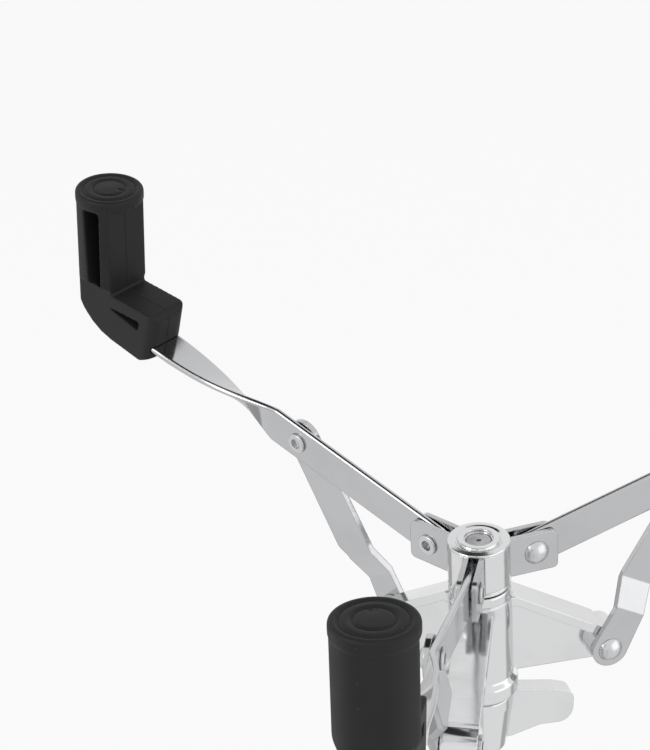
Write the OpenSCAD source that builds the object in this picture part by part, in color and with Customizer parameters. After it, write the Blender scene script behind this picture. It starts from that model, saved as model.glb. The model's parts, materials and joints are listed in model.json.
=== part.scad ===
// Snare drum stand: a folding three-arm basket on a tilter, a telescopic tube and a braced tripod.
// Millimetres, +Z up. The origin is on the floor, on the axis of the tubes.

/* [Basket] */
// Height of the arm hinges above the floor
basket_h = 544; // [543:1:640]
// Radius of the arm hinges from the basket's axis
hinge_r = 22.1; // [20:0.1:26]
// Rise of the arms from level
arm_rise = 15.7; // [10:0.1:20]
// Width of the arm strip
strip_w = 15.6; // [13:0.1:17]
// Thickness of the arm strip
strip_t = 2.7; // [2:0.1:3]
// Distance along the strip from the hub hinge to the link's rivet
mid_pivot = 71.9; // [68:0.1:76]
// Where the strip starts to twist
twist_start = 85; // [84:0.5:90]
// How far into the rubber block the strip still turns
twist_inside = 2; // [-8:0.5:4]

/* [Rubber tip] */
// Distance along the strip from the hub hinge to the middle of the post's top
tip_reach = 189.9; // [186:0.1:200]
// Height of the post's top above the strip's middle line
tip_rise = 55.1; // [50:0.1:62]
// Angle between the strip and the post
post_angle = 79.3; // [74:0.1:86]
// Radius of the post
post_r = 14; // [12.5:0.1:15]
// Distance of the flat inner face from the post's middle
post_flat = 9.2; // [8:0.1:11]
// Half width of the block that holds the strip
block_half = 9.7; // [9.2:0.1:9.9]
// Length of the block along the strip, from the middle of the post's top
block_reach = 41.9; // [33.9:0.5:43.9]
// Height of the block's top above the strip's middle line, at its end
block_up = 17.4; // [14:0.1:19]
// Depth of the block's bottom under the strip's middle line
block_down = 7.4; // [6:0.1:9]
// Height of the collar band at the post's top
collar_h = 4.8; // [4:0.1:7]
// Radius of the outer corner, where the post turns into the block
heel_r = 27; // [20:1:28]
// Rounding of the block's upright corners
block_round = 4.2; // [3.8:0.1:4.6]

/* [Hub] */
// Radius of the hub
hub_r = 12.1; // [11.5:0.1:13]
// Height of the hub's top above the hinges
hub_up = 8.4; // [8.3:0.1:10]
// Depth of the hub under the hinges
hub_down = 10; // [9.8:0.1:12]
// Height of the hub's stepped cap
cap_h = 1.7; // [1.4:0.1:2.2]
// Radius of the recess in the cap
cap_recess_r = 5.6; // [5.3:0.1:6.4]
// Thickness of the bracket plates
plate_t = 2; // [1.5:0.1:2.2]
// Height of the bracket plates
plate_h = 16.8; // [15:0.1:17]
// How far the bracket plates reach past the hinge
plate_out = 8.7; // [8:0.1:10]
// Radius of the centre rod
rod_r = 5; // [4.5:0.1:5.2]

/* [Links and runner] */
// Radius of the runner's pivots from the basket's axis
lug_r = 50.5; // [48:0.1:52]
// Depth of the runner's pivots under the arm hinges
lug_down = 49; // [47:0.1:51]
// Thickness of the links
link_t = 2.4; // [2:0.1:2.6]
// Width of the links at the arm
link_w = 16.3; // [15:0.1:17]
// Radius of the links' lower eye
link_eye = 7.5; // [7:0.1:8]
// Half width of the runner's lugs
lug_half = 7; // [6:0.1:7.5]
// Length of the runner
runner_h = 48; // [44:0.5:50]
// Radius of the runner's collar
runner_r = 12.3; // [12:0.1:14]
// Reach of the adjusting nut's wings
nut_reach = 37; // [30:0.5:42]
// Height of the adjusting nut
nut_h = 26; // [22:0.5:27]

/* [Tilter] */
// Height of the tilt axis above the lower tube's mouth
tilter_rise = 88; // [84:1:89]
// Radius of the tilter's toothed discs
disc_r = 18; // [16:0.5:20]
// Thickness of each tilter disc
disc_t = 11; // [9:0.5:13]

/* [Tubes] */
// Outer diameter of the lower tube
lower_d = 25.4; // [24:0.1:27]
// Outer diameter of the upper tube
upper_d = 19.1; // [18:0.1:19.3]
// Wall of both tubes
tube_wall = 1.5; // [1.2:0.1:1.6]
// Height of the lower tube's bottom above the floor
tube_bottom = 40; // [36:1:44]
// Height of the lower tube's top above the floor
tube_top = 256; // [256:1:260]
// Length of the upper tube
upper_len = 240; // [200:1:250]

/* [Tripod] */
// Height of the leg hinges above the floor
leg_hinge_h = 178; // [174:1:182]
// Radius of the leg and brace hinges from the tube's axis
leg_hinge_r = 25; // [24:0.1:28]
// Radius of the feet from the tube's axis
foot_reach = 191; // [180:1:210]
// Height of the leg's middle line where it ends in the foot
foot_axis_h = 17; // [15:0.5:19]
// Width of the leg strips
leg_w = 15; // [13:0.5:16]
// Thickness of the leg and brace strips
leg_t = 2; // [1.6:0.1:2.4]
// Distance along the leg from its hinge to the brace
brace_at = 88; // [84:1:92]
// Height of the brace hinges above the floor
brace_hinge_h = 58; // [56:1:62]
// Radius of the rubber feet
foot_r = 15; // [14:0.1:17]

/* [Hidden] */
$fn = 48;

// Directions of the three arms and of the three legs, turned 60 degrees from each other
arm_left_az = 150;
arm_right_az = 30;
arm_front_az = 270;
leg_rear_az = 90;
leg_left_az = 210;
leg_right_az = 330;

// Clearances
fit = 0.05;      // radial play of a pin in its hole, and of a piece in its seat
slide = 0.08;    // radial play of a sliding fit
side_gap = 0.35; // between plates that turn against each other
skin = 0.3;      // between castings that move against each other

chrome = [0.78, 0.79, 0.81];
steel = [0.62, 0.64, 0.66];
rubber = [0.16, 0.16, 0.17];
nylon = [0.88, 0.88, 0.85];

// Rivets of the basket
rivet_r = 2.5;
rivet_head_r = 5;
rivet_head_h = 2.8;
rivet_ring_r = 4.2;
rivet_ring_h = 1.1;
rivet_hollow_r = 2.1;
rivet_hollow_deep = 3;

// Where the block ends on the strip, towards the hub, and where the strip lies flat again
block_start = tip_reach - block_reach;
twist_end = block_start + twist_inside;

// Hub and brackets
plate_gap = side_gap + 0.2;
bracket_half = strip_t / 2 + plate_gap + plate_t;
bracket_in = 7.6;
cap_z = basket_h + hub_up;
cap_top = cap_z + cap_h;

// The links' upper pivots, in the vertical plane of an arm
mid_r = hinge_r + mid_pivot * cos(arm_rise);
mid_z = basket_h + mid_pivot * sin(arm_rise);
lug_z = basket_h - lug_down;
link_len = norm([mid_r - lug_r, mid_z - lug_z]);
link_tilt = 90 + atan2(mid_r - lug_r, mid_z - lug_z);
link_near = strip_t / 2 + side_gap;
link_low_near = lug_half + skin;
joggle_start = link_len * 0.645;
joggle_end = joggle_start + 11.2;
link_narrow_in = -8.4;
link_narrow_out = 5;

// Runner, washer and adjusting nut
runner_top = basket_h - hub_down - 0.6;
runner_bottom = runner_top - runner_h;
bush_r = rod_r + 2.6;
washer_h = 1.5;
nut_top = runner_bottom - washer_h - 0.5;
nut_bottom = nut_top - nut_h;

// Tilter
tilt_h = tube_top + tilter_rise;
upper_socket_r = 11;
lower_socket_r = 14;
socket_gap = 1;
socket_h = 12;
socket_bottom = tilt_h + disc_r + socket_gap;
socket_top = socket_bottom + socket_h;
lower_socket_top = tilt_h - disc_r - socket_gap;
lower_socket_h = 20;
bolt_r = 4;
lock_nut_h = 4;

// Wings: radius and height of the boss, reach and rise of the wings, and their thickness
tilter_wing = [9, 13, 27, 21];
leg_wing = [8.5, 12, 26, 20];
wing_t = 4.5;

// Tubes and clamps
lower_r = lower_d / 2;
upper_r = upper_d / 2;
tube_bore_r = lower_r - tube_wall;
upper_top = lower_socket_top - 2;
upper_bottom = upper_top - upper_len;
clamp_r = lower_r + 4.6;
clamp_under = 14;
clamp_over = 20;
clamp_bottom = tube_top - clamp_under;
clamp_top = tube_top + clamp_over;
clamp_bolt_y = clamp_r + 8;
clamp_ear_h = 24;
clamp_bolt_z = clamp_bottom + 1 + clamp_ear_h / 2;
clamp_slit = 3;
ear_t = 7.5;
collar_play = skin;
memory_bottom = clamp_top + collar_play;
memory_h = 12;
memory_r = upper_r + 5.5;

// Tripod
leg_drop = leg_hinge_h - foot_axis_h;
leg_run = foot_reach - leg_hinge_r;
leg_len = norm([leg_run, leg_drop]);
leg_slope = atan2(leg_drop, leg_run);
brace_top_r = leg_hinge_r + brace_at * cos(leg_slope);
brace_top_z = leg_hinge_h - brace_at * sin(leg_slope);
brace_len = norm([brace_top_r - leg_hinge_r, brace_top_z - brace_hinge_h]);
brace_slope = atan2(brace_top_z - brace_hinge_h, brace_top_r - leg_hinge_r);
brace_w = 13;
brace_in = 4 + side_gap;
leg_in = brace_in + leg_t + side_gap;
leg_fin = leg_in - side_gap;
brace_fin = brace_in - side_gap;
fin_eye = 8;
pin_r = 3;
leg_collar_r = 18;
leg_collar_h = 30;
bottom_collar_r = 17;
bottom_collar_h = 27;
leg_bolt_out = 30;

// Rounds the corners of an outline whose points are [x, y, radius]
function unit(v) = v / norm(v);
function corner(a, b, c, r, steps = 6) = r <= 0 ? [b] :
    let (u = unit(a - b), v = unit(c - b), half = acos(u * v) / 2,
        p = b + u * r / tan(half), q = b + v * r / tan(half), m = b + unit(u + v) * r / sin(half),
        a0 = atan2(p.y - m.y, p.x - m.x), turn = atan2(q.y - m.y, q.x - m.x) - a0,
        da = turn > 180 ? turn - 360 : turn < -180 ? turn + 360 : turn)
    [for (i = [0:steps]) m + r * [cos(a0 + da * i / steps), sin(a0 + da * i / steps)]];
function flat2(p) = [p.x, p.y];
function rounded(pts) = let (n = len(pts)) [for (i = [0:n - 1])
    each corner(flat2(pts[(i + n - 1) % n]), flat2(pts[i]), flat2(pts[(i + 1) % n]), pts[i].z)];

// A plate drawn in the XZ plane, between two places along Y
module side_plate(y0, y1) {
    translate([0, y1, 0]) rotate([90, 0, 0]) linear_extrude(y1 - y0) children();
}

// A cylinder along Y, between two places
module cross(r, y0, y1) {
    translate([0, y1, 0]) rotate([90, 0, 0]) cylinder(r = r, h = y1 - y0);
}

// Puts its children on an arm, with X along the strip from the hub hinge
module on_arm(az) {
    rotate([0, 0, az]) translate([hinge_r, 0, basket_h]) rotate([0, -arm_rise, 0]) children();
}

// Puts its children on a link, with X from the arm's rivet to the runner's pivot
module on_link(az) {
    rotate([0, 0, az]) translate([mid_r, 0, mid_z]) rotate([0, link_tilt, 0]) children();
}

// A dome head that grows towards -Y, its base at y = 0
module dome(r, h) {
    ball = (r * r + h * h) / (2 * h);
    rotate([90, 0, 0]) rotate_extrude()
        intersection() {
            translate([0, h - ball]) circle(ball, $fn = 96);
            square([r, h]);
        }
}

// A semi-tubular rivet along Y: the dome is at y0, the rolled ring at y1
module tube_rivet(y0, y1) {
    translate([0, y0, 0]) dome(rivet_head_r, rivet_head_h);
    difference() {
        union() {
            cross(rivet_r, y0, y1);
            translate([0, y1, 0]) rotate([-90, 0, 0]) rotate_extrude()
                polygon(rounded([[0, 0, 0], [rivet_ring_r, 0, 0.3], [rivet_ring_r, rivet_ring_h, 0.5],
                    [0, rivet_ring_h, 0]]));
        }
        cross(rivet_hollow_r, y1 + rivet_ring_h - rivet_hollow_deep, y1 + rivet_ring_h + 1);
    }
}

// Hub: the casting with three pockets for the brackets
module hub_casting() {
    color(chrome) difference() {
        translate([0, 0, basket_h]) rotate_extrude()
            polygon(rounded([[rod_r + fit, -hub_down, 0], [hub_r, -hub_down, 0.8], [hub_r, -hub_down + 1.2, 0],
                [hub_r - 0.5, -hub_down + 1.5, 0], [hub_r - 0.5, -hub_down + 1.9, 0],
                [hub_r, -hub_down + 2.2, 0], [hub_r, hub_up, 0], [rod_r + fit, hub_up, 0]]));
        for (az = [arm_left_az, arm_right_az, arm_front_az])
            rotate([0, 0, az]) translate([bracket_in, -bracket_half - fit, basket_h - plate_h / 2 - fit])
                cube([hub_r, 2 * (bracket_half + fit), plate_h + 2 * fit]);
    }
}

module hub_cap() {
    ring_r = 8.6;
    color(chrome) translate([0, 0, cap_z]) rotate_extrude()
        polygon(rounded([[rod_r + 3 * fit, 0, 0], [hub_r, 0, 0], [hub_r, cap_h * 0.55, 0.6],
            [ring_r + 0.9, cap_h * 0.72, 0.3], [ring_r + 0.2, cap_h * 0.5, 0],
            [ring_r - 0.3, cap_h * 0.5, 0], [ring_r - 0.6, cap_h, 0.3], [cap_recess_r, cap_h, 0.3],
            [cap_recess_r, cap_h * 0.35, 0], [rod_r + 3 * fit, cap_h * 0.3, 0]]));
}

// One folded bracket: two plates and the web that joins them inside the hub
module bracket(az) {
    out = hinge_r + plate_out;
    rotate([0, 0, az]) translate([0, 0, basket_h]) difference() {
        union() {
            for (side = [-1, 1])
                side_plate(side > 0 ? bracket_half - plate_t : -bracket_half,
                    side > 0 ? bracket_half : plate_t - bracket_half)
                    polygon(rounded([[bracket_in, -plate_h / 2, 0], [out, -plate_h / 2, 2],
                        [out, plate_h / 2, 3.2], [bracket_in, plate_h / 2, 0]]));
            translate([bracket_in, plate_t / 2 - bracket_half, -plate_h / 2])
                cube([plate_t, 2 * bracket_half - plate_t, plate_h]);
        }
        translate([hinge_r, 0, 0]) cross(rivet_r + fit, -bracket_half - 1, bracket_half + 1);
    }
}

module hub_brackets() {
    color(chrome) for (az = [arm_left_az, arm_right_az, arm_front_az]) bracket(az);
}

module hub_rivets() {
    color(chrome) for (az = [arm_left_az, arm_right_az, arm_front_az])
        rotate([0, 0, az]) translate([hinge_r, 0, basket_h]) tube_rivet(-bracket_half - fit, bracket_half + fit);
}

// The rod that carries the hub, and on which the runner slides
module centre_rod() {
    rod_top = cap_top - 1.1;
    color(steel) difference() {
        translate([0, 0, socket_bottom]) cylinder(r = rod_r, h = rod_top - socket_bottom);
        translate([0, 0, rod_top - 1.5]) cylinder(r = 0.9, h = 3);
    }
}

// Section of the strip, as [across, through], with its long edges broken
function strip_section() = let (w = strip_w / 2, t = strip_t / 2, c = 0.45)
    [[w - c, t], [w, t - c], [w, c - t], [w - c, -t], [c - w, -t], [-w, c - t], [-w, t - c], [c - w, t]];
// Angle of the strip at a place on the twist: quick at first and slow near the tip
function twist_at(f) = let (g = pow(f, 0.58)) 90 * g * g * (3 - 2 * g);
function strip_ring(x, angle) = [for (p = strip_section())
    [x, p.x * sin(angle) + p.y * cos(angle), p.x * cos(angle) - p.y * sin(angle)]];

twist_rings = 26;
module strip_twist() {
    span = twist_end - twist_start;
    sides = len(strip_section());
    points = [for (i = [0:twist_rings])
        each strip_ring(twist_start + span * i / twist_rings, twist_at(i / twist_rings))];
    walls = [for (i = [0:twist_rings - 1], k = [0:sides - 1])
        let (a = i * sides + k, b = i * sides + (k + 1) % sides) each [[a, a + sides, b], [b, a + sides, b + sides]]];
    start = [[for (k = [0:sides - 1]) k]];
    end = [[for (k = [sides - 1:-1:0]) twist_rings * sides + k]];
    polyhedron(points, concat(start, walls, end));
}

// One arm: a flat strip with two holes, a quarter twist, and a flat end inside the tip
module arm(az) {
    inner = 8;
    tail = tip_reach - strip_short;
    color(chrome) on_arm(az) {
        difference() {
            intersection() {
                translate([-inner, 0, 0]) rotate([90, 0, 90]) linear_extrude(twist_start + inner)
                    polygon([for (p = strip_section()) [p.y, p.x]]);
                side_plate(-strip_t, strip_t)
                    polygon(rounded([[-inner, -strip_w / 2, 6], [twist_start + 1, -strip_w / 2, 0],
                        [twist_start + 1, strip_w / 2, 0], [-inner, strip_w / 2, 6]]));
            }
            cross(rivet_r + fit, -strip_t, strip_t);
            translate([mid_pivot, 0, 0]) cross(rivet_r + fit, -strip_t, strip_t);
        }
        strip_twist();
        translate([twist_end, 0, 0]) rotate([90, 0, 90]) linear_extrude(tail - twist_end)
            polygon([for (p = strip_section()) [p.x, -p.y]]);
    }
}

// Places on the tip: x outwards and y up from the middle of the post's top, given along and across the strip
tip_tilt = 90 - post_angle;
function in_post(u, v) = [(u - tip_reach) * cos(tip_tilt) - (v - tip_rise) * sin(tip_tilt),
    (u - tip_reach) * sin(tip_tilt) + (v - tip_rise) * cos(tip_tilt)];
module on_post() {
    translate([tip_reach, 0, tip_rise]) rotate([0, tip_tilt, 0]) children();
}

// Side outline of the block and of the post under its collar
toe_len = 5.4;
toe_rise = 3.3;
module tip_side() {
    toe = in_post(block_start + toe_len, -block_down);
    end_low = in_post(block_start, toe_rise - block_down);
    end_high = in_post(block_start, block_up);
    heel = toe.y + (post_r - toe.x) * tan(tip_tilt);
    polygon(rounded([[-post_flat, -collar_h / 2, 0], [-post_flat, end_high.y + 1.2, 0.8],
        [end_high.x, end_high.y, 3], [end_low.x, end_low.y, 0], [toe.x, toe.y, 0], [post_r, heel, heel_r],
        [post_r, -collar_h / 2, 0]]));
}

// What is cut off one side of the post's foot, to leave a flat that runs on into the block's side
foot_flat_top = 4.8;
foot_slope = 3.6;
module foot_flat(deep) {
    floor_z = in_post(tip_reach, block_up).y - foot_flat_top;
    translate([-post_flat - 1.5, 0, 0]) rotate([90, 0, 90]) linear_extrude(2 * post_r + 4)
        polygon([[block_half, -deep], [block_half, floor_z], [post_r + 0.5, floor_z + foot_slope],
            [post_r + 5, floor_z + foot_slope], [post_r + 5, -deep]]);
}

// What is cut off one upright corner of the block's end
module block_corner(deep) {
    steps = 5;
    r = block_round;
    arc = [for (i = [0:steps]) let (a = 90 + 90 * i / steps)
        [block_start + r + r * cos(a), block_half - r + r * sin(a)]];
    first = 1.5 * arc[0] - 0.5 * arc[1];
    last = 1.5 * arc[steps] - 0.5 * arc[steps - 1];
    linear_extrude(deep)
        polygon(concat([last - [1, 0], [last.x - 1, first.y + 1], first + [0, 1], first],
            [for (i = [1:steps - 1]) arc[i]], [last]));
}

// The wedge-shaped slots in the block's sides
wedge_from = 8;
wedge_len = 19.4;
wedge_drop = 6.5;
wedge_high = 4.5;
module tip_wedge() {
    top = block_up - wedge_drop;
    polygon(rounded([[block_start + wedge_from, top, 1], [block_start + wedge_from + wedge_len, top - wedge_high * 0.75, 0.3],
        [block_start + wedge_from + 0.4, top - wedge_high, 0.6]]));
}

// How far the strip ends short of the post's middle
strip_short = 9;
module tip(az) {
    slot_top = -collar_h - 0.6;
    slot_bottom = -42;
    slot_in = 3.3 - post_flat;
    slot_wide = 7.6;
    web = 2.5;
    under_collar = 0.3;
    strip_end = tip_reach - strip_short + fit;
    deep = 2 * tip_rise;
    color(rubber) on_arm(az) difference() {
        on_post() union() {
            intersection() {
                side_plate(-post_r - 1, post_r + 1) tip_side();
                difference() {
                    translate([0, 0, -deep]) union() {
                        cylinder(r = post_r - under_collar, h = deep);
                        translate([-tip_rise, -block_half, 0]) cube([tip_rise, 2 * block_half, deep]);
                    }
                    foot_flat(deep + 1);
                    mirror([0, 1, 0]) foot_flat(deep + 1);
                }
            }
            rotate_extrude()
                polygon(rounded([[0, -collar_h, 0], [post_r, -collar_h, 0.5], [post_r, 0, 1.4], [11.6, 0, 0.3],
                    [11.2, -0.8, 0], [10.5, -0.8, 0], [10.1, 0, 0.3], [7.5, 0.1, 0.3], [7, -0.7, 0],
                    [6.4, -0.7, 0], [6, 0, 0.2], [0, 0.3, 0]]));
        }
        // The slots that make the post soft, one from each side
        on_post() for (side = [-1, 1])
            side_plate(side > 0 ? web : -post_r - 1, side > 0 ? post_r + 1 : -web)
                polygon(rounded([[slot_in, slot_top, 1.2], [slot_in + 0.4, slot_bottom, 1.2],
                    [slot_in + slot_wide - 1.6, slot_bottom, 1.2], [slot_in + slot_wide, slot_top, 1.2]]));
        for (side = [-1, 1])
            side_plate(side > 0 ? web : -block_half - 1, side > 0 ? block_half + 1 : -web) tip_wedge();
        translate([0, 0, -tip_rise / 2]) block_corner(tip_rise);
        translate([0, 0, -tip_rise / 2]) mirror([0, 1, 0]) block_corner(tip_rise);
        // A small notch on the top, and the pocket for the strip
        on_post() translate([-5.4, -3.2, -0.5]) rotate([0, 0, 30]) cube([2.6, 1.4, 2]);
        translate([block_start - 5, -strip_w / 2 - fit, -strip_t / 2 - fit])
            cube([strip_end - block_start + 5, strip_w + 2 * fit, strip_t + 2 * fit]);
    }
}

// One link: a strip with a joggle in its thickness, and a shoulder where it narrows
module link(az) {
    far = link_near + link_t;
    low_far = link_low_near + link_t;
    bend = (joggle_end - joggle_start) * 0.08;
    head = link_w / 2;
    color(chrome) on_link(az) difference() {
        intersection() {
            side_plate(-low_far - 1, 0) union() {
                circle(head);
                translate([link_len, 0]) circle(link_eye);
                polygon(rounded([[0, -head, 0], [joggle_start - 2, link_narrow_in - 0.5, 12],
                    [joggle_end, link_narrow_in + 1, 12], [link_len, -link_eye, 0], [link_len, link_eye, 0],
                    [joggle_end, link_narrow_out + 0.6, 10], [joggle_start, link_narrow_out, 3],
                    [joggle_start - 5, head, 4], [0, head, 0]]));
            }
            translate([0, 0, -2 * head]) linear_extrude(4 * head)
                polygon([[-2 * head, -link_near], [joggle_start + bend, -link_near],
                    [joggle_end + bend, -link_low_near], [link_len + 2 * head, -link_low_near],
                    [link_len + 2 * head, -low_far], [joggle_end - bend, -low_far],
                    [joggle_start - bend, -far], [-2 * head, -far]]);
        }
        cross(rivet_r + fit, -low_far - 2, 1);
        translate([link_len, 0, 0]) cross(rivet_r + fit, -low_far - 2, 1);
    }
}

module arm_rivet(az) {
    color(chrome) on_arm(az) translate([mid_pivot, 0, 0])
        tube_rivet(-link_near - link_t - fit, strip_t / 2 + fit);
}

// The head of the lower rivet, with the part of its shank that is inside the link
module link_rivet(az) {
    color(chrome) on_link(az) translate([link_len, -link_low_near - link_t - fit, 0]) {
        dome(rivet_head_r, rivet_head_h);
        cross(rivet_r, 0, link_t + fit);
    }
}

// The rest of the lower rivets, held in the runner's lugs
module lug_pins() {
    color(chrome) for (az = [arm_left_az, arm_right_az, arm_front_az])
        rotate([0, 0, az]) translate([lug_r, 0, lug_z]) difference() {
            union() {
                cross(rivet_r, -lug_half, lug_half + fit);
                cross(rivet_ring_r, lug_half + fit, lug_half + fit + rivet_ring_h);
            }
            cross(rivet_hollow_r, lug_half - 2, lug_half + rivet_ring_h + 1);
        }
}

// One lug of the runner: a web, a sloping top flange and the eye for the link
module runner_lug(az) {
    top_in = runner_top - 5.4;
    top_out = lug_z + 7.4;
    web_half = 3;
    rotate([0, 0, az]) {
        side_plate(-web_half, web_half)
            polygon([[bush_r + 1, top_in], [runner_r, top_in], [lug_r, top_out], [lug_r, lug_z - 7],
                [runner_r, runner_bottom + 6], [bush_r + 1, runner_bottom + 6]]);
        side_plate(-lug_half, lug_half)
            polygon(rounded([[bush_r + 1, top_in, 0], [runner_r, top_in, 2], [lug_r + 1, top_out, 3],
                [lug_r - 1, top_out - 3.5, 0], [runner_r, top_in - 4, 0], [bush_r + 1, top_in - 4, 0]]));
        translate([lug_r, 0, lug_z]) cross(link_eye, -lug_half, lug_half);
    }
}

module runner() {
    groove = runner_top - 4.4;
    color(chrome) difference() {
        union() {
            rotate_extrude()
                polygon(rounded([[bush_r + fit, runner_bottom, 0], [runner_r + 2, runner_bottom, 1],
                    [runner_r + 2, runner_bottom + 6, 1], [runner_r, runner_bottom + 8, 1],
                    [runner_r, groove - 0.5, 0], [runner_r - 0.5, groove - 0.2, 0],
                    [runner_r - 0.5, groove + 0.2, 0], [runner_r - 0.2, groove + 0.5, 0],
                    [runner_r - 0.2, runner_top, 0.8], [bush_r + fit, runner_top, 0]]));
            for (az = [arm_left_az, arm_right_az, arm_front_az]) runner_lug(az);
        }
        translate([0, 0, runner_bottom - 1]) cylinder(r = bush_r + fit, h = runner_h + 2);
        for (az = [arm_left_az, arm_right_az, arm_front_az])
            rotate([0, 0, az]) translate([lug_r, 0, lug_z]) cross(rivet_r + fit, -lug_half - 1, lug_half + 1);
    }
}

module runner_bush() {
    color(nylon) difference() {
        translate([0, 0, runner_bottom]) cylinder(r = bush_r, h = runner_h);
        translate([0, 0, runner_bottom - 1]) cylinder(r = rod_r + slide, h = runner_h + 2);
    }
}

module thrust_washer() {
    color(steel) difference() {
        translate([0, 0, runner_bottom - washer_h]) cylinder(r = runner_r, h = washer_h);
        translate([0, 0, runner_bottom - washer_h - 1]) cylinder(r = rod_r + 3 * fit, h = washer_h + 2);
    }
}

// The big nut under the runner, with two wings for the fingers
module adjusting_nut() {
    boss_r = 11;
    wing_t = 6.5;
    color(chrome) difference() {
        union() {
            rotate_extrude()
                polygon(rounded([[rod_r, nut_bottom, 0], [boss_r - 2, nut_bottom, 1.5],
                    [boss_r + 1, nut_top - 5, 2], [boss_r + 1, nut_top, 0.6], [rod_r, nut_top, 0]]));
            for (turn = [25, 205]) rotate([0, 0, turn]) side_plate(-wing_t / 2, wing_t / 2)
                polygon(rounded([[rod_r, nut_top - 1, 0], [boss_r + 3, nut_top - 1, 3],
                    [nut_reach - 8, nut_top - 4, 6], [nut_reach, nut_top - 7, 5], [nut_reach - 1, nut_bottom + 5, 6],
                    [nut_reach - 14, nut_bottom + 6, 6], [boss_r, nut_bottom + 3, 3], [rod_r, nut_bottom + 3, 0]]));
        }
        translate([0, 0, nut_bottom - 1]) cylinder(r = rod_r + slide, h = nut_h + 2);
    }
}

// Tilter: two discs on one cross bolt, the upper one under the rod's socket
module tilter_upper() {
    color(chrome) difference() {
        union() {
            translate([skin, 0, tilt_h]) rotate([0, 90, 0]) cylinder(r = disc_r, h = disc_t - skin);
            translate([skin, -upper_socket_r, tilt_h]) cube([disc_t - skin, 2 * upper_socket_r, disc_r + 2]);
            rotate_extrude()
                polygon(rounded([[0, socket_bottom, 0], [upper_socket_r + 1, socket_bottom, 1],
                    [upper_socket_r, socket_top, 1.5], [0, socket_top, 0]]));
        }
        translate([0, 0, socket_bottom - fit]) cylinder(r = rod_r + fit, h = socket_h + 2);
        translate([-1, 0, tilt_h]) rotate([0, 90, 0]) cylinder(r = bolt_r + fit, h = disc_t + 2);
        translate([disc_t - 1.2, 0, tilt_h]) rotate([0, 90, 0]) difference() {
            cylinder(r = disc_r - 2, h = 3);
            translate([0, 0, -1]) cylinder(r = bolt_r + 5.5, h = 5);
        }
    }
}

module tilter_lower() {
    bottom = lower_socket_top - lower_socket_h;
    color(chrome) difference() {
        union() {
            translate([-disc_t, 0, tilt_h]) rotate([0, 90, 0]) cylinder(r = disc_r, h = disc_t);
            translate([-disc_t, -upper_socket_r, lower_socket_top - 2])
                cube([disc_t, 2 * upper_socket_r, disc_r + socket_gap + 2]);
            rotate_extrude()
                polygon(rounded([[0, bottom, 0], [lower_socket_r, bottom, 1.5],
                    [lower_socket_r, lower_socket_top, 2], [0, lower_socket_top, 0]]));
        }
        translate([0, 0, bottom - 1]) cylinder(r = upper_r + fit, h = upper_top - bottom + 1 + fit);
        translate([-disc_t - 1, 0, tilt_h]) rotate([0, 90, 0]) cylinder(r = bolt_r + fit, h = disc_t + 2);
        translate([-disc_t - 1.8, 0, tilt_h]) rotate([0, 90, 0]) difference() {
            cylinder(r = disc_r - 2, h = 3);
            translate([0, 0, -1]) cylinder(r = bolt_r + 5.5, h = 5);
        }
    }
}

module tilter_bolt() {
    head_h = 5;
    length = 2 * disc_t + 19;
    color(steel) translate([-disc_t - fit, 0, tilt_h]) rotate([0, 90, 0]) {
        cylinder(r = bolt_r, h = length);
        translate([0, 0, -head_h]) cylinder(r = 8, h = head_h, $fn = 6);
    }
}

module tilter_washer() {
    color(steel) translate([disc_t, 0, tilt_h]) rotate([0, 90, 0]) difference() {
        cylinder(r = bolt_r + 4.5, h = washer_h);
        translate([0, 0, -1]) cylinder(r = bolt_r + fit, h = washer_h + 2);
    }
}

// Two wings on a boss that turns on a bolt of radius r, standing on z = 0 and growing along +Z
module wing_nut(r, boss_r, boss_h, reach, rise, wing_t) {
    difference() {
        union() {
            rotate_extrude()
                polygon(rounded([[r / 2, 0, 0], [boss_r, 0, 0.5], [boss_r, boss_h * 0.35, 1],
                    [boss_r - 2, boss_h, 1], [r / 2, boss_h, 0]]));
            for (turn = [0, 180]) rotate([0, 0, turn]) side_plate(-wing_t / 2, wing_t / 2)
                polygon(rounded([[r, 3.5, 0], [boss_r + 3, 3.5, 2], [reach - 1, rise * 0.55, 4],
                    [reach, rise - 1, 4], [reach * 0.62, rise, 3], [boss_r, boss_h * 0.75, 3], [r, boss_h * 0.75, 0]]));
        }
        translate([0, 0, -1]) cylinder(r = r, h = rise + boss_h + 2);
    }
}

module tilter_wing_nut() {
    color(chrome) translate([disc_t + washer_h + fit, 0, tilt_h]) rotate([0, 90, 0]) rotate([0, 0, 70])
        wing_nut(bolt_r + slide, tilter_wing[0], tilter_wing[1], tilter_wing[2], tilter_wing[3], wing_t);
}

module rod_lock_nut() {
    color(steel) translate([0, 0, socket_top]) difference() {
        cylinder(r = 9, h = lock_nut_h, $fn = 6);
        translate([0, 0, -1]) cylinder(r = rod_r + fit, h = lock_nut_h + 2);
    }
}

module upper_tube() {
    color(chrome) translate([0, 0, upper_bottom]) difference() {
        cylinder(r = upper_r, h = upper_len);
        translate([0, 0, -1]) cylinder(r = upper_r - tube_wall, h = upper_len + 2);
    }
}

// The stop ring on the upper tube that keeps its height
module memory_collar() {
    boss = memory_r + 3;
    z = memory_bottom + memory_h / 2;
    color(chrome) difference() {
        union() {
            rotate_extrude()
                polygon(rounded([[upper_r, memory_bottom, 0], [memory_r, memory_bottom, 0.8],
                    [memory_r, memory_bottom + memory_h, 1.5], [upper_r, memory_bottom + memory_h, 0]]));
            translate([0, 0, z]) rotate([90, 0, 0]) cylinder(r = 5.4, h = boss);
        }
        translate([0, 0, memory_bottom - 1]) cylinder(r = upper_r + slide, h = memory_h + 2);
        translate([0, -upper_r, z]) rotate([90, 0, 0]) cylinder(r = pin_r + fit, h = boss);
    }
}

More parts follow.
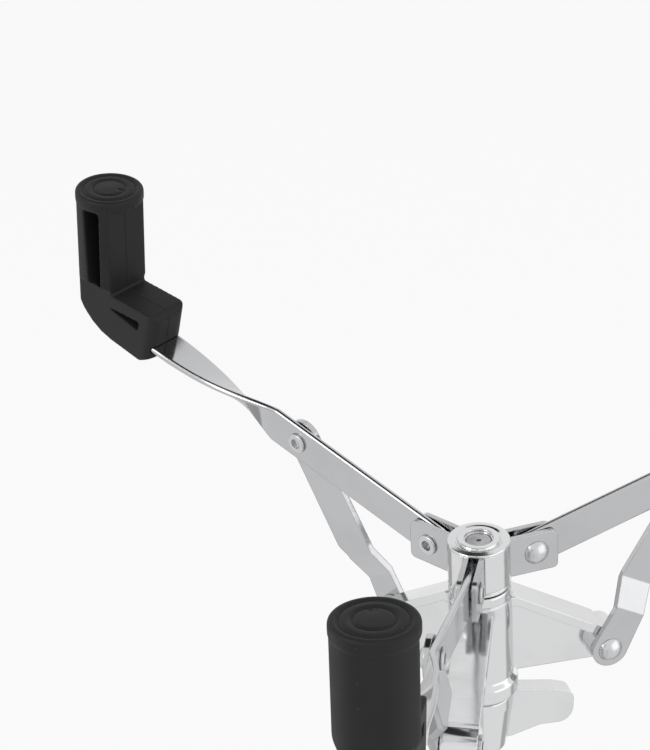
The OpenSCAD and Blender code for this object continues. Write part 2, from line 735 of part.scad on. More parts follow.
module memory_bolt() {
    z = memory_bottom + memory_h / 2;
    shank = memory_r + 3 + skin - upper_r - slide;
    color(steel) translate([0, -upper_r - slide, z]) rotate([90, 0, 0]) {
        translate([0, 0, fit]) cylinder(r = pin_r, h = shank - fit);
        translate([0, 0, shank]) cylinder(r = 5, h = 2);
        translate([-3, -3, shank + 2]) cube([6, 6, 8]);
    }
}

// The split clamp on the lower tube's top
module height_clamp() {
    ear_out = clamp_bolt_y + 8;
    color(chrome) difference() {
        union() {
            rotate_extrude()
                polygon(rounded([[upper_r, clamp_bottom, 0], [clamp_r, clamp_bottom, 1],
                    [clamp_r, tube_top + 4, 2], [clamp_r - 1.5, clamp_top, 1.5], [upper_r, clamp_top, 0]]));
            translate([-ear_t - clamp_slit / 2, 0, 0]) rotate([90, 0, 90]) linear_extrude(2 * ear_t + clamp_slit)
                polygon(rounded([[upper_r + 2, clamp_bottom + 1, 0], [ear_out, clamp_bottom + 1, 7],
                    [ear_out, clamp_bottom + 1 + clamp_ear_h, 7], [upper_r + 2, clamp_bottom + 1 + clamp_ear_h, 0]]));
        }
        translate([0, 0, clamp_bottom - 1]) cylinder(r = lower_r + fit, h = tube_top - clamp_bottom + 1 + fit);
        translate([0, 0, tube_top - 1]) cylinder(r = upper_r + 1.2, h = clamp_top - tube_top + 2);
        translate([-clamp_slit / 2, 0, clamp_bottom - 1]) cube([clamp_slit, ear_out + 2, clamp_top - clamp_bottom + 2]);
        translate([-ear_t - clamp_slit, clamp_bolt_y, clamp_bolt_z]) rotate([0, 90, 0])
            cylinder(r = bolt_r + fit, h = 2 * (ear_t + clamp_slit));
    }
}

module tube_bushing() {
    length = 45;
    lip = 4;
    color(nylon) difference() {
        union() {
            translate([0, 0, tube_top - length]) cylinder(r = tube_bore_r - fit, h = length + lip);
            translate([0, 0, tube_top + fit]) cylinder(r = upper_r + 1.1, h = clamp_top - tube_top - 1);
        }
        translate([0, 0, tube_top - length - 1]) cylinder(r = upper_r + slide, h = length + 1.5 * clamp_over);
        translate([0, 0, tube_top + fit]) difference() {
            cylinder(r = lower_r, h = 2 * clamp_over);
            translate([0, 0, -1]) cylinder(r = upper_r + 1.1, h = 2 * clamp_over + 2);
        }
    }
}

module height_wing_bolt() {
    out = ear_t + clamp_slit / 2;
    deep = 2 * out + 7.5;
    color(chrome) translate([out + skin, clamp_bolt_y, clamp_bolt_z]) rotate([0, 90, 0]) {
        rotate([0, 0, 35]) wing_nut(bolt_r, 8.5, 12, 21.5, 18, 4.5);
        translate([0, 0, -deep]) cylinder(r = bolt_r, h = deep + 10);
    }
}

module height_nut() {
    color(steel) translate([-ear_t - clamp_slit / 2, clamp_bolt_y, clamp_bolt_z]) rotate([0, -90, 0]) difference() {
        cylinder(r = 7.5, h = 6, $fn = 6);
        translate([0, 0, -1]) cylinder(r = bolt_r + slide, h = 8);
    }
}

module lower_tube() {
    color(chrome) translate([0, 0, tube_bottom]) difference() {
        cylinder(r = lower_r, h = tube_top - tube_bottom);
        translate([0, 0, -1]) cylinder(r = tube_bore_r, h = tube_top - tube_bottom + 2);
    }
}

// A collar with three fins, each bored across for a pin
module fin_collar(z, height, r, fin_half, bore) {
    difference() {
        union() {
            rotate_extrude()
                polygon(rounded([[bore, z - height / 2, 0], [r, z - height / 2, 1.5],
                    [r, z + height / 2, 1.5], [bore, z + height / 2, 0]]));
            for (az = [leg_rear_az, leg_left_az, leg_right_az]) rotate([0, 0, az]) side_plate(-fin_half, fin_half) {
                translate([leg_hinge_r, z]) circle(fin_eye);
                polygon([[lower_r + 1, z - fin_eye - 3], [leg_hinge_r, z - fin_eye], [leg_hinge_r, z + fin_eye],
                    [lower_r + 1, z + fin_eye + 3]]);
            }
        }
        translate([0, 0, z - height]) cylinder(r = bore, h = 2 * height);
        for (az = [leg_rear_az, leg_left_az, leg_right_az])
            rotate([0, 0, az]) translate([leg_hinge_r, 0, z]) cross(pin_r + fit, -fin_half - 1, fin_half + 1);
    }
}

module leg_collar() {
    color(chrome) difference() {
        union() {
            fin_collar(leg_hinge_h, leg_collar_h, leg_collar_r, leg_fin, lower_r + slide);
            difference() {
                translate([0, 0, leg_hinge_h]) rotate([90, 0, 0]) cylinder(r = 8, h = leg_bolt_out - 4);
                translate([0, 0, leg_hinge_h - 10]) cylinder(r = lower_r + 1, h = 20);
            }
        }
        translate([0, 0, leg_hinge_h]) rotate([90, 0, 0]) cylinder(r = bolt_r + fit, h = leg_bolt_out);
    }
}

module leg_wing_bolt() {
    tip_y = lower_r + slide;
    color(chrome) translate([0, -leg_bolt_out + 4 - skin, leg_hinge_h]) rotate([90, 0, 0]) {
        wing_nut(bolt_r, leg_wing[0], leg_wing[1], leg_wing[2], leg_wing[3], wing_t);
        translate([0, 0, -(leg_bolt_out - 4 - tip_y)]) cylinder(r = bolt_r, h = leg_bolt_out - 4 - tip_y + 10);
    }
}

module leg_pins() {
    color(steel) for (az = [leg_rear_az, leg_left_az, leg_right_az])
        rotate([0, 0, az]) translate([leg_hinge_r, 0, leg_hinge_h]) cross_pin(leg_in + leg_t + fit);
}

// A pin across the middle, with a dome on each end
module cross_pin(half) {
    cross(pin_r, -half, half);
    translate([0, -half, 0]) dome(pin_r + 2, 2.2);
    translate([0, half, 0]) rotate([0, 0, 180]) dome(pin_r + 2, 2.2);
}

// Puts its children on a leg, with X from the hinge to the foot
module on_leg(az) {
    rotate([0, 0, az]) translate([leg_hinge_r, 0, leg_hinge_h]) rotate([0, leg_slope, 0]) children();
}

// One leg: two strips, held apart by a spacer
module leg(az) {
    spacer_at = leg_len * 0.74;
    color(chrome) on_leg(az) difference() {
        union() {
            for (side = [-1, 1]) side_plate(side > 0 ? leg_in : -leg_in - leg_t, side > 0 ? leg_in + leg_t : -leg_in) {
                circle(leg_w / 2);
                polygon([[0, -leg_w / 2], [leg_len, -leg_w / 2], [leg_len, leg_w / 2], [0, leg_w / 2]]);
            }
            translate([spacer_at, 0, 0]) cross(4.5, -leg_in - 0.5, leg_in + 0.5);
        }
        cross(pin_r + fit, -leg_in - leg_t - 1, leg_in + leg_t + 1);
        translate([brace_at, 0, 0]) cross(pin_r + fit, -leg_in - leg_t - 1, leg_in + leg_t + 1);
    }
}

// The heads of the pins that hold the brace, one on each strip of the leg
module leg_stud(az) {
    color(steel) on_leg(az) translate([brace_at, 0, 0]) for (side = [0, 180]) rotate([0, side, side]) {
        cross(pin_r, -leg_in - leg_t - fit, -leg_in);
        translate([0, -leg_in - leg_t - fit, 0]) dome(pin_r + 2, 2.2);
    }
}

module brace(az) {
    color(chrome) rotate([0, 0, az]) translate([leg_hinge_r, 0, brace_hinge_h]) rotate([0, -brace_slope, 0])
        difference() {
            for (side = [-1, 1])
                side_plate(side > 0 ? brace_in : -brace_in - leg_t, side > 0 ? brace_in + leg_t : -brace_in) {
                    circle(brace_w / 2);
                    translate([brace_len, 0]) circle(brace_w / 2);
                    translate([0, -brace_w / 2]) square([brace_len, brace_w]);
                }
            cross(pin_r + fit, -brace_in - leg_t - 1, brace_in + leg_t + 1);
            translate([brace_len, 0, 0]) cross(pin_r + fit, -brace_in - leg_t - 1, brace_in + leg_t + 1);
        }
}

module brace_pins() {
    color(steel) for (az = [leg_rear_az, leg_left_az, leg_right_az])
        rotate([0, 0, az]) translate([leg_hinge_r, 0, brace_hinge_h]) cross_pin(brace_in + leg_t + fit);
}

// One rubber foot: a flat round pad and a sleeve over the leg's end
module foot(az) {
    sleeve_half = leg_in + leg_t + 3.2;
    sleeve_len = 34;
    strip_play = fit;
    color(rubber) difference() {
        union() {
            rotate([0, 0, az]) translate([foot_reach, 0, 0]) rotate_extrude()
                polygon(rounded([[0, 0, 0], [foot_r - 1, 0, 1], [foot_r, 4, 1], [foot_r - 1.5, 15, 5],
                    [foot_r - 6, foot_axis_h + 6, 5], [0, foot_axis_h + 7, 0]]));
            intersection() {
                on_leg(az) side_plate(-sleeve_half, sleeve_half)
                    polygon(rounded([[leg_len - sleeve_len, -leg_w / 2 - 3, 3], [leg_len + 9, -leg_w / 2 - 3, 7],
                        [leg_len + 9, leg_w / 2 + 3, 7], [leg_len - sleeve_len, leg_w / 2 + 3, 3]]));
                translate([-2 * foot_reach, -2 * foot_reach, 0]) cube([4 * foot_reach, 4 * foot_reach, leg_hinge_h]);
            }
        }
        on_leg(az) for (side = [-1, 1])
            side_plate((side > 0 ? leg_in : -leg_in - leg_t) - strip_play,
                (side > 0 ? leg_in + leg_t : -leg_in) + strip_play)
                polygon([[leg_len - sleeve_len - 1, -leg_w / 2 - strip_play], [leg_len + strip_play, -leg_w / 2 - strip_play],
                    [leg_len + strip_play, leg_w / 2 + strip_play],
                    [leg_len - sleeve_len - 1, leg_w / 2 + strip_play]]);
    }
}

module bottom_collar() {
    color(chrome) fin_collar(brace_hinge_h, bottom_collar_h, bottom_collar_r, brace_fin, lower_r + fit);
}

module tube_plug() {
    color(rubber) {
        translate([0, 0, tube_bottom - 3]) cylinder(r = lower_r, h = 3);
        translate([0, 0, tube_bottom - 1]) cylinder(r = tube_bore_r - fit, h = 16);
    }
}

hub_casting();
hub_cap();
hub_brackets();
hub_rivets();
centre_rod();
arm(arm_left_az);  // arm_left
arm(arm_right_az);  // arm_right
arm(arm_front_az);  // arm_front
tip(arm_left_az);  // tip_left
tip(arm_right_az);  // tip_right
tip(arm_front_az);  // tip_front
link(arm_left_az);  // link_left
link(arm_right_az);  // link_right
link(arm_front_az);  // link_front
arm_rivet(arm_left_az);  // arm_rivet_left
arm_rivet(arm_right_az);  // arm_rivet_right
arm_rivet(arm_front_az);  // arm_rivet_front
link_rivet(arm_left_az);  // link_rivet_left
link_rivet(arm_right_az);  // link_rivet_right
link_rivet(arm_front_az);  // link_rivet_front
runner();
runner_bush();
lug_pins();
thrust_washer();
adjusting_nut();
tilter_upper();
tilter_lower();
tilter_bolt();
tilter_washer();
tilter_wing_nut();
rod_lock_nut();
upper_tube();
memory_collar();
memory_bolt();
height_clamp();
tube_bushing();
height_wing_bolt();
height_nut();
lower_tube();
leg_collar();
leg_wing_bolt();
leg_pins();
leg(leg_rear_az);  // leg_rear
leg(leg_left_az);  // leg_left
leg(leg_right_az);  // leg_right
foot(leg_rear_az);  // foot_rear
foot(leg_left_az);  // foot_left
foot(leg_right_az);  // foot_right
leg_stud(leg_rear_az);  // leg_stud_rear
leg_stud(leg_left_az);  // leg_stud_left
leg_stud(leg_right_az);  // leg_stud_right
brace(leg_rear_az);  // brace_rear
brace(leg_left_az);  // brace_left
brace(leg_right_az);  // brace_right
bottom_collar();
brace_pins();
tube_plug();
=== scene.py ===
"""Snare drum stand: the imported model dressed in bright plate, steel and rubber, in a white studio."""
import json
import math

import bmesh
import bpy
from mathutils import Matrix, Vector


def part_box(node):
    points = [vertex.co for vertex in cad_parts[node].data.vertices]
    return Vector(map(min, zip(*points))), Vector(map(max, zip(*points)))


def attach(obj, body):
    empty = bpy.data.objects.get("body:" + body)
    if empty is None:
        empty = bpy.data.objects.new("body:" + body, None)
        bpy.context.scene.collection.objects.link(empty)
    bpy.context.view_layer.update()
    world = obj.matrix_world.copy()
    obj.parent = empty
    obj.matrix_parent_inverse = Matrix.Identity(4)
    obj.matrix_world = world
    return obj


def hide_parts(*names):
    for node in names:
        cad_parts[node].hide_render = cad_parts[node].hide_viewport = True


MM = 0.001


def mm(*values):
    return Vector(values) * MM


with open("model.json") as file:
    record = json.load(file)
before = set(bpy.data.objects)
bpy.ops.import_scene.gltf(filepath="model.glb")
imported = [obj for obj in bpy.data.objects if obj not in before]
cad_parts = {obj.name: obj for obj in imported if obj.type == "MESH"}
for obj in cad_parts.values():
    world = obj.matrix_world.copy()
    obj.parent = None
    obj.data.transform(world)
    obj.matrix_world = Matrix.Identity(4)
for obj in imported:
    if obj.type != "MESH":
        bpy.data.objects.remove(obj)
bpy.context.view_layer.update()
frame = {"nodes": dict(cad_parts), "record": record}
NODES = frame["nodes"]
ARM_AZIMUTH = {"left": 150.0, "right": 30.0, "front": 270.0}

# The axis of the arm hinges, from the hinge rivets themselves
RIVET_LOW, RIVET_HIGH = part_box("hub_rivets")
BASKET_H = (RIVET_LOW.z + RIVET_HIGH.z) / 2


def add_object(name, data):
    made = bpy.data.objects.new(name, data)
    bpy.context.scene.collection.objects.link(made)
    return made


# Camera: the photograph's place and lens, turned into the part's frame

FOCAL_PX = 2386.107
PICTURE_LONG_PX = 750
SENSOR_MM = 36.0
CAMERA_DOWN = math.radians(28.966)
CAMERA_ROLL = math.radians(-3.263)
CAMERA_AT = mm(-54.539, -758.708, 503.961)
TURN_TO_PART = math.radians(13.462)


def make_camera():
    lens = bpy.data.cameras.new("camera")
    lens.sensor_width = SENSOR_MM
    lens.lens = FOCAL_PX * SENSOR_MM / PICTURE_LONG_PX
    lens.clip_start = 0.02
    lens.clip_end = 30.0
    camera = add_object("camera", lens)
    turn = Matrix.Rotation(TURN_TO_PART, 3, "Z")
    ahead = Vector((0, math.cos(CAMERA_DOWN), -math.sin(CAMERA_DOWN)))
    up = Vector((0, math.sin(CAMERA_DOWN), math.cos(CAMERA_DOWN)))
    right = Vector((1, 0, 0))
    c, s = math.cos(CAMERA_ROLL), math.sin(CAMERA_ROLL)
    x_axis = turn @ (right * c + up * s)
    y_axis = turn @ (up * c - right * s)
    z_axis = turn @ -ahead
    spot = turn @ CAMERA_AT + Vector((0, 0, BASKET_H))
    camera.matrix_world = Matrix((
        (x_axis.x, y_axis.x, z_axis.x, spot.x),
        (x_axis.y, y_axis.y, z_axis.y, spot.y),
        (x_axis.z, y_axis.z, z_axis.z, spot.z),
        (0, 0, 0, 1)))
    bpy.context.scene.camera = camera


make_camera()


# Shader building

class Shader:
    """A small hand for wiring nodes in one tree."""

    def __init__(self, tree):
        self.tree = tree
        self.nodes = tree.nodes
        self.links = tree.links

    def node(self, kind, **settings):
        made = self.nodes.new(kind)
        inputs = settings.pop("inputs", {})
        for name, value in settings.items():
            setattr(made, name, value)
        for name, value in inputs.items():
            self.feed(made.inputs[name], value)
        return made

    def feed(self, socket, value):
        if isinstance(value, bpy.types.NodeSocket):
            self.links.new(value, socket)
        else:
            socket.default_value = value

    def math(self, operation, first, second=0.0, clamp=False):
        made = self.nodes.new("ShaderNodeMath")
        made.operation = operation
        made.use_clamp = clamp
        self.feed(made.inputs[0], first)
        self.feed(made.inputs[1], second)
        return made.outputs[0]

    def blend(self, share, first, second):
        made = self.nodes.new("ShaderNodeMix")
        made.data_type = "RGBA"
        self.feed(made.inputs["Factor"], share)
        self.feed(made.inputs["A"], first)
        self.feed(made.inputs["B"], second)
        return made.outputs["Result"]

    def spread(self, value, low, high, to_low, to_high):
        made = self.nodes.new("ShaderNodeMapRange")
        self.feed(made.inputs["Value"], value)
        for name, number in zip(("From Min", "From Max", "To Min", "To Max"), (low, high, to_low, to_high)):
            self.feed(made.inputs[name], number)
        return made.outputs["Result"]


def new_group(name, takes, gives):
    """An empty shader group with named inputs (kind, start value) and outputs (kind)."""
    tree = bpy.data.node_groups.new(name, "ShaderNodeTree")
    for label, (kind, start) in takes.items():
        socket = tree.interface.new_socket(name=label, in_out="INPUT", socket_type=kind)
        if start is not None:
            socket.default_value = start
    for label, kind in gives.items():
        tree.interface.new_socket(name=label, in_out="OUTPUT", socket_type=kind)
    shader = Shader(tree)
    return shader, shader.node("NodeGroupInput").outputs, shader.node("NodeGroupOutput").inputs


def plate_marks_group():
    """What handling leaves on bright plate: hair lines, dull smudges and the ripple under the plating."""
    s, inp, out = new_group("plate_marks", {
        "Vector": ("NodeSocketVector", None),
        "Hair Line Scale": ("NodeSocketFloat", 900.0),
        "Smudge Scale": ("NodeSocketFloat", 28.0),
        "Ripple Scale": ("NodeSocketFloat", 55.0),
        "Base Roughness": ("NodeSocketFloat", 0.06),
        "Smudge Roughness": ("NodeSocketFloat", 0.07),
    }, {"Roughness": "NodeSocketFloat", "Height": "NodeSocketFloat", "Tone": "NodeSocketFloat"})
    stretch = s.node("ShaderNodeMapping", inputs={"Vector": inp["Vector"], "Scale": (0.05, 1.0, 1.0)})
    hair = s.node("ShaderNodeTexNoise", inputs={
        "Vector": stretch.outputs[0], "Scale": inp["Hair Line Scale"], "Detail": 2.0, "Roughness": 0.6})
    smudge = s.node("ShaderNodeTexNoise", inputs={
        "Vector": inp["Vector"], "Scale": inp["Smudge Scale"], "Detail": 5.0, "Roughness": 0.62})
    ripple = s.node("ShaderNodeTexNoise", inputs={
        "Vector": inp["Vector"], "Scale": inp["Ripple Scale"], "Detail": 1.0, "Roughness": 0.4})
    patch = s.spread(smudge.outputs["Fac"], 0.45, 0.72, 0.0, 1.0)
    fine = s.spread(hair.outputs["Fac"], 0.3, 0.7, -0.012, 0.02)
    rough = s.math("ADD", inp["Base Roughness"], s.math("MULTIPLY", patch, inp["Smudge Roughness"]))
    s.feed(out["Roughness"], s.math("ADD", rough, fine, clamp=True))
    scratch = s.math("MULTIPLY", hair.outputs["Fac"], 0.03)
    s.feed(out["Height"], s.math("ADD", ripple.outputs["Fac"], scratch))
    s.feed(out["Tone"], patch)
    return s.tree


def rubber_skin_group():
    """Moulded rubber: fine spark-eroded grain, cloudy bloom and dust that greys it."""
    s, inp, out = new_group("rubber_skin", {
        "Vector": ("NodeSocketVector", None),
        "Colour": ("NodeSocketColor", (0.04, 0.04, 0.043, 1)),
        "Bloom Colour": ("NodeSocketColor", (0.09, 0.09, 0.095, 1)),
        "Grain Scale": ("NodeSocketFloat", 1500.0),
        "Bloom Scale": ("NodeSocketFloat", 45.0),
    }, {"Color": "NodeSocketColor", "Roughness": "NodeSocketFloat", "Height": "NodeSocketFloat"})
    grain = s.node("ShaderNodeTexNoise", inputs={
        "Vector": inp["Vector"], "Scale": inp["Grain Scale"], "Detail": 3.0, "Roughness": 0.55})
    bloom = s.node("ShaderNodeTexNoise", inputs={
        "Vector": inp["Vector"], "Scale": inp["Bloom Scale"], "Detail": 6.0, "Roughness": 0.6})
    cloud = s.spread(bloom.outputs["Fac"], 0.4, 0.75, 0.0, 0.55)
    speck = s.spread(grain.outputs["Fac"], 0.6, 0.8, 0.0, 0.35)
    grey = s.math("ADD", cloud, speck, clamp=True)
    s.feed(out["Color"], s.blend(grey, inp["Colour"], inp["Bloom Colour"]))
    s.feed(out["Roughness"], s.spread(bloom.outputs["Fac"], 0.35, 0.7, 0.5, 0.64))
    s.feed(out["Height"], grain.outputs["Fac"])
    return s.tree


def edge_wear_group():
    """A mask that is 1 on sharp outer edges, broken up by noise."""
    s, inp, out = new_group("edge_wear", {
        "Vector": ("NodeSocketVector", None),
        "Amount": ("NodeSocketFloat", 0.6),
        "Break Up Scale": ("NodeSocketFloat", 260.0),
    }, {"Mask": "NodeSocketFloat"})
    geometry = s.node("ShaderNodeNewGeometry")
    edge = s.spread(geometry.outputs["Pointiness"], 0.53, 0.62, 0.0, 1.0)
    broken = s.node("ShaderNodeTexNoise", inputs={
        "Vector": inp["Vector"], "Scale": inp["Break Up Scale"], "Detail": 4.0})
    worn = s.spread(broken.outputs["Fac"], 0.35, 0.65, 0.3, 1.0)
    s.feed(out["Mask"], s.math("MULTIPLY", s.math("MULTIPLY", edge, worn), inp["Amount"], clamp=True))
    return s.tree


PLATE_MARKS = plate_marks_group()
RUBBER_SKIN = rubber_skin_group()
EDGE_WEAR = edge_wear_group()


def bare_material(name):
    material = bpy.data.materials.new(name)
    material.use_nodes = True
    s = Shader(material.node_tree)
    s.nodes.clear()
    return material, s


def start_material(name):
    """A material with one surface shader, and where each of its points lies on the object."""
    material, s = bare_material(name)
    surface = s.node("ShaderNodeBsdfPrincipled")
    result = s.node("ShaderNodeOutputMaterial")
    s.links.new(surface.outputs[0], result.inputs["Surface"])
    place = s.node("ShaderNodeTexCoord").outputs["Object"]
    return material, s, surface, place


def use_group(s, tree, **values):
    made = s.node("ShaderNodeGroup", node_tree=tree)
    for label, value in values.items():
        s.feed(made.inputs[label.replace("_", " ")], value)
    return made.outputs


def bump(s, height, strength, distance, edge=None):
    made = s.node("ShaderNodeBump", inputs={"Strength": strength, "Distance": distance, "Height": height})
    if edge:
        eased = s.node("ShaderNodeBevel", samples=4, inputs={"Radius": edge})
        s.feed(made.inputs["Normal"], eased.outputs["Normal"])
    return made.outputs["Normal"]


def darker(colour, share):
    return tuple(part * share for part in colour[:3]) + (1,)


def bright_plate(name, colour, roughness, smudge, ripple, ripple_depth, edge=0.00035, turn=(0, 0, 0)):
    """Polished nickel-chrome plate on steel, a little darker where it is smudged."""
    material, s, surface, place = start_material(name)
    turned = s.node("ShaderNodeMapping", inputs={"Vector": place, "Rotation": turn}).outputs[0]
    marks = use_group(s, PLATE_MARKS, Vector=turned, Base_Roughness=roughness, Smudge_Roughness=smudge,
                      Ripple_Scale=ripple)
    dull = darker(colour, 0.93)
    s.feed(surface.inputs["Base Color"], s.blend(marks["Tone"], colour, dull))
    s.feed(surface.inputs["Roughness"], marks["Roughness"])
    surface.inputs["Metallic"].default_value = 1.0
    s.feed(surface.inputs["Normal"], bump(s, marks["Height"], 0.25, ripple_depth, edge=edge))
    return material


def satin_steel(name, colour, roughness):
    """Zinc-plated bolts, pins and the rod: a satin metal with darker, rougher patches."""
    material, s, surface, place = start_material(name)
    marks = use_group(s, PLATE_MARKS, Vector=place, Base_Roughness=roughness, Smudge_Roughness=0.16,
                      Smudge_Scale=120.0, Ripple_Scale=300.0)
    dull = darker(colour, 0.75)
    s.feed(surface.inputs["Base Color"], s.blend(marks["Tone"], colour, dull))
    s.feed(surface.inputs["Roughness"], marks["Roughness"])
    surface.inputs["Metallic"].default_value = 1.0
    s.feed(surface.inputs["Normal"], bump(s, marks["Height"], 0.3, 0.00003, edge=0.0002))
    return material


# Rubber where edges have been rubbed
RUBBED = (0.07, 0.07, 0.073, 1)


def moulded_rubber(name, colour, bloom, grain_depth):
    material, s, surface, place = start_material(name)
    skin = use_group(s, RUBBER_SKIN, Vector=place, Colour=colour, Bloom_Colour=bloom)
    worn = use_group(s, EDGE_WEAR, Vector=place, Amount=0.5)
    s.feed(surface.inputs["Base Color"], s.blend(worn["Mask"], skin["Color"], RUBBED))
    s.feed(surface.inputs["Roughness"], skin["Roughness"])
    surface.inputs["Specular IOR Level"].default_value = 0.24
    s.feed(surface.inputs["Normal"], bump(s, skin["Height"], 0.35, grain_depth))
    return material


def natural_nylon(name):
    material, s, surface, place = start_material(name)
    cloud = s.node("ShaderNodeTexNoise", inputs={"Vector": place, "Scale": 90.0, "Detail": 3.0})
    tint = s.blend(cloud.outputs["Fac"], (0.82, 0.82, 0.78, 1), (0.74, 0.73, 0.68, 1))
    s.feed(surface.inputs["Base Color"], tint)
    s.feed(surface.inputs["Roughness"], s.spread(cloud.outputs["Fac"], 0.3, 0.7, 0.34, 0.5))
    surface.inputs["Subsurface Weight"].default_value = 0.1
    surface.inputs["Subsurface Radius"].default_value = (0.002, 0.002, 0.0015)
    s.feed(surface.inputs["Normal"], bump(s, cloud.outputs["Fac"], 0.1, 0.0001))
    return material


# What each metal reflects, and the black of the rubber
STRIP = (0.51, 0.513, 0.522, 1)
BRACKET = (0.52, 0.523, 0.53, 1)
RIVET = (0.6, 0.603, 0.61, 1)
CHROME = (0.70, 0.703, 0.71, 1)
ZINC = (0.5, 0.5, 0.51, 1)
BLACK = (0.016, 0.016, 0.0165, 1)
FINISHES = {
    "strip": bright_plate("strip plate", STRIP, 0.09, 0.06, 38.0, 0.00035, edge=0.0007),
    "plate": bright_plate("bracket plate", BRACKET, 0.17, 0.07, 60.0, 0.0004, edge=0.0006),
    "casting": bright_plate("casting plate", CHROME, 0.11, 0.06, 120.0, 0.0003, edge=0.0006),
    "tube": bright_plate("tube plate", CHROME, 0.05, 0.05, 25.0, 0.0001, turn=(0, math.pi / 2, 0)),
    "rivet": bright_plate("rivet plate", RIVET, 0.26, 0.08, 200.0, 0.0002),
    "steel": satin_steel("zinc steel", ZINC, 0.24),
    "tip": moulded_rubber("tip rubber", BLACK, (0.03, 0.03, 0.031, 1), 0.00005),
    "foot": moulded_rubber("foot rubber", BLACK, (0.034, 0.034, 0.035, 1), 0.0001),
    "nylon": natural_nylon("natural nylon"),
}

FINISH_OF_SLOT = {
    "strip_chrome": "strip",
    "cast_chrome": "casting",
    "tube_chrome": "tube",
    "rivet_chrome": "rivet",
    "steel": "steel",
    "rubber": "tip",
    "nylon": "nylon",
}


def dress_cad_nodes():
    for part in frame["record"]["subparts"]:
        made = NODES[part["node"]]
        finish = FINISH_OF_SLOT[part["material_slot"]]
        if part["node"].startswith("foot_") or part["node"] == "tube_plug":
            finish = "foot"
        if part["node"] == "hub_brackets":
            finish = "plate"
        made.data.materials.clear()
        made.data.materials.append(FINISHES[finish])


dress_cad_nodes()


# Pieces grown by geometry nodes

def new_tree(name, takes):
    """An empty geometry tree with named inputs and one geometry output."""
    tree = bpy.data.node_groups.new(name, "GeometryNodeTree")
    for label, (kind, start) in takes.items():
        socket = tree.interface.new_socket(name=label, in_out="INPUT", socket_type=kind)
        if start is not None:
            socket.default_value = start
    tree.interface.new_socket(name="Geometry", in_out="OUTPUT", socket_type="NodeSocketGeometry")
    wiring = Shader(tree)
    return wiring, wiring.node("NodeGroupInput").outputs, wiring.node("NodeGroupOutput").inputs["Geometry"]


def end_tree(g, shape, material, out):
    whole = g.node("GeometryNodeRealizeInstances", inputs={"Geometry": shape})
    dressed = g.node("GeometryNodeSetMaterial", inputs={"Geometry": whole.outputs[0], "Material": material})
    g.links.new(dressed.outputs[0], out)


def grow(name, tree, place, **values):
    """Runs a tree with its inputs set and keeps the result as a plain mesh at the origin."""
    seed = add_object(name + "_seed", bpy.data.meshes.new(name + "_seed"))
    modifier = seed.modifiers.new("grow", "NODES")
    modifier.node_group = tree
    for item in tree.interface.items_tree:
        if item.in_out == "INPUT" and item.name.replace(" ", "_") in values:
            modifier[item.identifier] = values[item.name.replace(" ", "_")]
    weighted = seed.modifiers.new("flats", "WEIGHTED_NORMAL")
    weighted.keep_sharp = True
    return keep_evaluated(seed, name, place)


def keep_evaluated(seed, name, place=Matrix.Identity(4)):
    """What a seed's modifiers make of it, kept as a plain mesh in the seed's stead."""
    bpy.context.view_layer.update()
    seen = seed.evaluated_get(bpy.context.evaluated_depsgraph_get())
    mesh = bpy.data.meshes.new_from_object(seen)
    mesh.transform(place)
    mesh.name = name
    bpy.data.objects.remove(seed)
    return add_object(name, mesh)


def settle(piece, body, slot, *nodes):
    """Says which body carries a piece and the CAD nodes that it stands for; its material slot is not used.
    """
    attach(piece, body)
    if nodes:
        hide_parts(*nodes)


# Where an arm is hinged, out from the axis, and how far it rises from level
HINGE_R = 0.0221
ARM_RISE = math.radians(15.7)

# How soon the strip's quarter turn gets going: 1 is even at both ends, less is sooner
TWIST_LEAD = 0.58


def arm_place(azimuth):
    """The frame of an arm: X along the strip from the hub hinge, Z up across the strip."""
    turn = Matrix.Rotation(math.radians(azimuth), 4, "Z")
    return turn @ Matrix.Translation((HINGE_R, 0, BASKET_H)) @ Matrix.Rotation(-ARM_RISE, 4, "Y")


